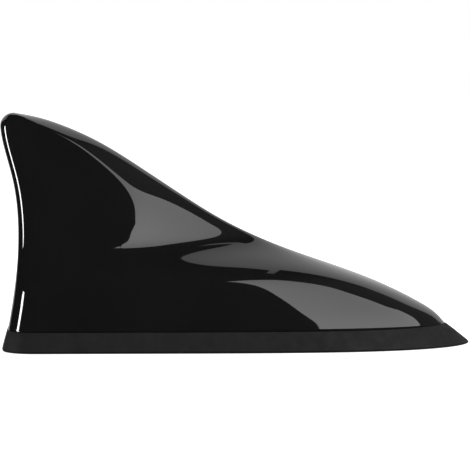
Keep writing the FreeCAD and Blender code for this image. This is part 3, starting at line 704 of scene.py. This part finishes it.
def solid_boxes(node):
    """Lowest and highest corners of each separate solid of a CAD node."""
    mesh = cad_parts[node].data
    work = bmesh.new()
    work.from_mesh(mesh)
    bmesh.ops.remove_doubles(work, verts=work.verts, dist=1e-6)
    left = set(work.verts)
    boxes = []
    while left:
        seen = [left.pop()]
        for vert in seen:
            for edge in vert.link_edges:
                other = edge.other_vert(vert)
                if other in left:
                    left.discard(other)
                    seen.append(other)
        spots = [v.co for v in seen]
        boxes.append([[pick(p[i] for p in spots) for i in range(3)] for pick in (min, max)])
    work.free()
    return sorted(boxes)


class ANTENNA_OT_shell(bpy.types.Operator):
    """Make the gloss fin from its section rule"""
    bl_idname = "antenna.shell"
    bl_label = "Fin shell"

    def execute(self, context):
        sizes = context.scene.antenna_sizes
        mesh = mesh_of_rows("fin_shell", raised(FinRule(sizes).fin_loops()))
        mesh.materials.append(lacquered_abs(context.scene.antenna_colours))
        item = add_object("fin_shell", mesh)
        fine = item.modifiers.new("fine", "SUBSURF")
        fine.levels = fine.render_levels = 2
        wall = item.modifiers.new("wall", "SOLIDIFY")
        wall.thickness = sizes.wall
        wall.offset = -1
        keep(item, ["outer_shell"])
        return {"FINISHED"}


class ANTENNA_OT_skirt(bpy.types.Operator):
    """Make the rubber skirt: rim, flared face, rounded foot and lip"""
    bl_idname = "antenna.skirt"
    bl_label = "Rubber skirt"

    def execute(self, context):
        sizes = context.scene.antenna_sizes
        rule = FinRule(sizes)
        rim = rule.loop(sizes.rim, rule.nose, -sizes.proud)
        ends = (rim[0].x, max(p.x for p in rim), max(p.y for p in rim))
        rim = raised_ring(rim)
        level = sizes.rim + sizes.plate_rim + sizes.wall
        mouth = rule.loop(level, rule.leading.x_at(level), sizes.lip)
        under = rule.loop(sizes.rim, rule.nose, sizes.wall)
        foot = sizes.foot
        rows = [(under, sizes.rim, 0, 0)]
        rows += [(rim, sizes.rim, 0, tuck * MM) for tuck in RIM_TUCKS]
        rows.append((rim, sizes.rim - RIM_DROP * MM, 0, 0))
        rows += [(rim, blend(sizes.rim, foot, share), share, 0) for share in FLARE_SHARES]
        rows.append((rim, foot, 1, FOOT_TUCK * MM))
        rows += [(rim, up * foot, 1, tuck * foot) for up, tuck in FOOT_ROUNDING]
        rows += [(mouth, 0, 0, 0), (mouth, sizes.pad, 0, 0), (under, sizes.pad, 0, 0)]
        loops = [[Vector((p.x, p.y, z)) for p in ring] for ring, z, _, _ in rows]
        mesh = mesh_of_rows("rubber_skirt", loops, ring=True)
        on_points = [(down, tuck, *ends) for _, _, down, tuck in rows for _ in rim]
        for name, values in zip(SKIRT_ATTRIBUTES, zip(*on_points)):
            layer = mesh.attributes.new(name, "FLOAT", "POINT")
            layer.data.foreach_set("value", values)
        item = add_object("rubber_skirt", mesh)
        run_group(item, skirt_tree(), {
            "Flare": sizes.flare, "Tail Reach": sizes.tail_reach, "Nose Reach": sizes.nose_reach,
            "Material": moulded_rubber(context.scene.antenna_colours)})
        keep(item, ["rubber_gasket"])
        return {"FINISHED"}


class ANTENNA_OT_screws(bpy.types.Operator):
    """Make the base screws and the board screws where the CAD has them"""
    bl_idname = "antenna.screws"
    bl_label = "Screws"

    def execute(self, context):
        zinc = plated_metal("zinc_plated_steel", context.scene.antenna_colours.zinc, 0.3, 0.4)
        tree = screw_tree()
        for node, (head_width, head, core, from_below) in SCREWS.items():
            boxes = solid_boxes(node)
            seats = []
            for low, high in boxes:
                z = low[2] + head * MM if from_below else high[2] - head * MM
                seats.append(((low[0] + high[0]) / 2, (low[1] + high[1]) / 2, z))
            mesh = bpy.data.meshes.new(node + "_turned")
            mesh.from_pydata(seats, [], [])
            item = add_object(node + "_turned", mesh)
            length = boxes[0][1][2] - boxes[0][0][2] - head * MM
            run_group(item, tree, {
                "Head Width": head_width * MM, "Head Height": head * MM, "Core Width": core * MM,
                "Length": length, "Turns": SCREW_TURNS, "Side": 1.0 if from_below else 0.0, "Material": zinc})
            keep(item, [node])
        return {"FINISHED"}


class ANTENNA_OT_coils(bpy.types.Operator):
    """Make the wound filter coils where the CAD has them"""
    bl_idname = "antenna.coils"
    bl_label = "Filter coils"

    def execute(self, context):
        boxes = solid_boxes("filter_coils")
        middles = [[(a + b) / 2 for a, b in zip(low, high)] for low, high in boxes]
        low, high = boxes[0]
        mesh = bpy.data.meshes.new("wound_coils")
        mesh.from_pydata(middles, [], [])
        item = add_object("wound_coils", mesh)
        copper = plated_metal("enamelled_copper", context.scene.antenna_colours.copper, 0.28, 0.5)
        run_group(item, coil_tree(), {
            "Width": high[0] - low[0], "Length": high[1] - low[1], "Wire": COIL_WIRE * MM,
            "Turns": COIL_TURNS, "Material": copper})
        keep(item, ["filter_coils"])
        return {"FINISHED"}


class ANTENNA_OT_finishes(bpy.types.Operator):
    """Give the CAD pieces that stay their own finishes"""
    bl_idname = "antenna.finishes"
    bl_label = "Inner finishes"

    def execute(self, context):
        colours = context.scene.antenna_colours
        board = resist_board(colours)
        tin = plated_metal("tinned_steel", colours.tin, 0.35, 0.6)
        finishes = {
            "base_plate": grained_abs(colours),
            "adhesive_pad": acrylic_foam(colours),
            "cable_grommet": moulded_rubber(colours, "moulded_gland_rubber"),
            "amplifier_board": board,
            "radiator_board": board,
            "shield_can": tin,
            "radiator_brackets": tin,
            "coax_socket": plated_metal("plated_brass", colours.brass, 0.25, 0.5),
            "filter_capacitors": fired_ceramic(colours),
        }
        for node, material in finishes.items():
            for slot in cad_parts[node].material_slots:
                slot.material = material
        return {"FINISHED"}


def seen_share(tree):
    """Socket that is 1 for rays from the camera, from mirrors and through glass, and 0 for lighting."""
    path = add(tree, "ShaderNodeLightPath").outputs
    seen = add(tree, MATH, [path["Is Camera Ray"], path["Is Glossy Ray"]], operation="MAXIMUM")
    return add(tree, MATH, [seen, path["Is Transmission Ray"]], operation="MAXIMUM")


def floor_material():
    """White painted board: white to the camera, and it takes a soft shadow."""
    material, tree, shader, _ = new_material("painted_board")
    shader.inputs["Base Color"].default_value = (FLOOR_WHITE, FLOOR_WHITE, FLOOR_WHITE, 1)
    shader.inputs["Roughness"].default_value = 0.9
    shader.inputs["Emission Color"].default_value = (1, 1, 1, 1)
    level = add(tree, MATH, [seen_share(tree), FLOOR_GLOW], operation="MULTIPLY")
    tree.links.new(level.outputs["Value"], shader.inputs["Emission Strength"])
    return material


def bare_material(name):
    """Material with an empty tree, and the Object coordinates in it."""
    material = bpy.data.materials.new(name)
    material.use_nodes = True
    tree = material.node_tree
    tree.nodes.clear()
    return material, tree, add(tree, "ShaderNodeTexCoord").outputs["Object"]


def drape_material(studio):
    """Black cloth round the studio, with an opening behind and above, where a scrim dims the backdrop."""
    material, tree, place = bare_material("black_drape")
    point = add(tree, "ShaderNodeVectorMath", [place], operation="NORMALIZE").outputs["Vector"]
    opening = 1.0
    for group in OPENING:
        best = -1.0
        for normal, offset in group:
            side = add(tree, "ShaderNodeVectorMath", [point, normal], operation="DOT_PRODUCT")
            inside = add(tree, MATH, [side.outputs["Value"], offset], operation="ADD")
            best = add(tree, MATH, [best, inside], operation="MAXIMUM")
        opening = add(tree, MATH, [opening, best], operation="MINIMUM")
    opening = add(tree, MATH, [opening, 0.0], operation="GREATER_THAN")
    glow = add(tree, "ShaderNodeMapRange", {
        "Value": add(tree, "ShaderNodeSeparateXYZ", [point]).outputs["X"],
        "From Min": GLOW_FROM, "From Max": GLOW_TO, "To Max": studio.glow}, interpolation_type="SMOOTHSTEP")
    cloth = add(tree, "ShaderNodeEmission", {"Strength": glow})
    scrim = add(tree, "ShaderNodeBsdfTransparent", {"Color": (*[studio.scrim] * 3, 1)})
    mix = add(tree, "ShaderNodeMixShader", [opening, cloth, scrim])
    add(tree, "ShaderNodeOutputMaterial", {"Surface": mix})
    return material


def lamp_corners(azimuth, rise, distance, wide, high, roll):
    """Corners of a panel that faces the object, placed by its angles from the camera's side."""
    middle = Vector((0, 0, LAMP_AIM * MM))
    a, e = math.radians(azimuth), math.radians(rise)
    place = middle + distance * Vector((math.sin(a) * math.cos(e), -math.cos(a) * math.cos(e), math.sin(e)))
    turned = (middle - place).to_track_quat("-Z", "Y") @ Quaternion((0, 0, 1), math.radians(roll))
    return [place + turned @ Vector((wide / 2 * i, high / 2 * j, 0)) for i, j in PANEL_OUTLINE]


def panel_material(name, foot, head, low, high):
    """Diffuser cloth lit from inside, graded from its foot to its head."""
    material, tree, place = bare_material(name)
    level = add(tree, "ShaderNodeMapRange", {
        "Value": add(tree, "ShaderNodeSeparateXYZ", [place]).outputs["Z"],
        "From Min": low, "From Max": high, "To Min": foot, "To Max": head})
    glow = add(tree, "ShaderNodeEmission", {"Strength": level})
    add(tree, "ShaderNodeOutputMaterial", {"Surface": glow})
    return material


def lamp(name, corners, foot, head):
    """Lit panel between given radiances at its foot and its head."""
    mesh = bpy.data.meshes.new(name)
    mesh.from_pydata(corners, [], [tuple(range(len(corners)))])
    heights = [p.z for p in corners]
    mesh.materials.append(panel_material(name + "_cloth", foot, head, min(heights), max(heights)))
    item = add_object(name, mesh)
    item.visible_camera = False


class ANTENNA_OT_stage(bpy.types.Operator):
    """Set the floor, drapes, lamps, world and camera"""
    bl_idname = "antenna.stage"
    bl_label = "Studio"

    def execute(self, context):
        scene = context.scene
        studio = scene.antenna_studio
        floor = bpy.data.meshes.new("floor")
        corners = [(i * FLOOR_HALF, j * FLOOR_HALF, FLOOR_LEVEL) for i, j in SQUARE]
        floor.from_pydata(corners, [], [(0, 1, 2, 3)])
        floor.materials.append(floor_material())
        item = add_object("floor", floor)
        item.visible_glossy = False
        drape = bpy.data.meshes.new("drape")
        work = bmesh.new()
        bmesh.ops.create_uvsphere(work, u_segments=64, v_segments=32, radius=DRAPE_RADIUS)
        work.to_mesh(drape)
        work.free()
        drape.materials.append(drape_material(studio))
        item = add_object("drape", drape)
        item.visible_camera = item.visible_diffuse = item.visible_shadow = item.visible_transmission = False
        lamp("softbox", lamp_corners(*SOFTBOX), studio.softbox_foot, studio.softbox_head)
        lamp("strip", lamp_corners(*STRIP), studio.strip_level, studio.strip_level)
        world = bpy.data.worlds.new("white_room")
        scene.world = world
        world.use_nodes = True
        tree = world.node_tree
        level = add(tree, "ShaderNodeMapRange", {
            "Value": seen_share(tree), "To Min": studio.ambient, "To Max": 1})
        tree.nodes["Background"].inputs["Color"].default_value = (1, 1, 1, 1)
        tree.links.new(level.outputs["Result"], tree.nodes["Background"].inputs["Strength"])
        camera = bpy.data.cameras.new("camera")
        item = add_object("camera", camera)
        rise, distance = math.radians(studio.camera_rise), studio.camera_distance
        item.location = (0, -distance * math.cos(rise), studio.view_centre + distance * math.sin(rise))
        item.rotation_euler = (math.pi / 2 - rise, 0, 0)
        camera.lens = camera.sensor_width * distance / studio.view_width
        scene.camera = item
        scene.view_settings.view_transform = "Standard"
        return {"FINISHED"}


class ANTENNA_PT_sidebar(bpy.types.Panel):
    """Buttons that make the antenna, and its sizes and colours"""
    bl_idname = "ANTENNA_PT_sidebar"
    bl_label = "Roof antenna"
    bl_space_type = "VIEW_3D"
    bl_region_type = "UI"
    bl_category = "Antenna"

    def draw(self, context):
        layout = self.layout
        for operator in OPERATORS:
            layout.operator(operator.bl_idname)
        scene = context.scene
        for group in (scene.antenna_sizes, scene.antenna_colours, scene.antenna_studio):
            for name in group.bl_rna.properties.keys():
                if name not in ("rna_type", "name"):
                    layout.prop(group, name)


OPERATORS = [ANTENNA_OT_shell, ANTENNA_OT_skirt, ANTENNA_OT_screws, ANTENNA_OT_coils, ANTENNA_OT_finishes,
             ANTENNA_OT_stage]
CLASSES = [FinSizes, FinishColours, StudioSizes] + OPERATORS + [ANTENNA_PT_sidebar]


def register():
    for item in CLASSES:
        bpy.utils.register_class(item)
    bpy.types.Scene.antenna_sizes = bpy.props.PointerProperty(type=FinSizes)
    bpy.types.Scene.antenna_colours = bpy.props.PointerProperty(type=FinishColours)
    bpy.types.Scene.antenna_studio = bpy.props.PointerProperty(type=StudioSizes)


def unregister():
    del bpy.types.Scene.antenna_studio
    del bpy.types.Scene.antenna_colours
    del bpy.types.Scene.antenna_sizes
    for item in reversed(CLASSES):
        bpy.utils.unregister_class(item)


def main():
    """Register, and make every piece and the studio."""
    register()
    bpy.ops.antenna.shell()
    bpy.ops.antenna.skirt()
    bpy.ops.antenna.screws()
    bpy.ops.antenna.coils()
    bpy.ops.antenna.finishes()
    bpy.ops.antenna.stage()


if __name__ == "__main__":
    main()
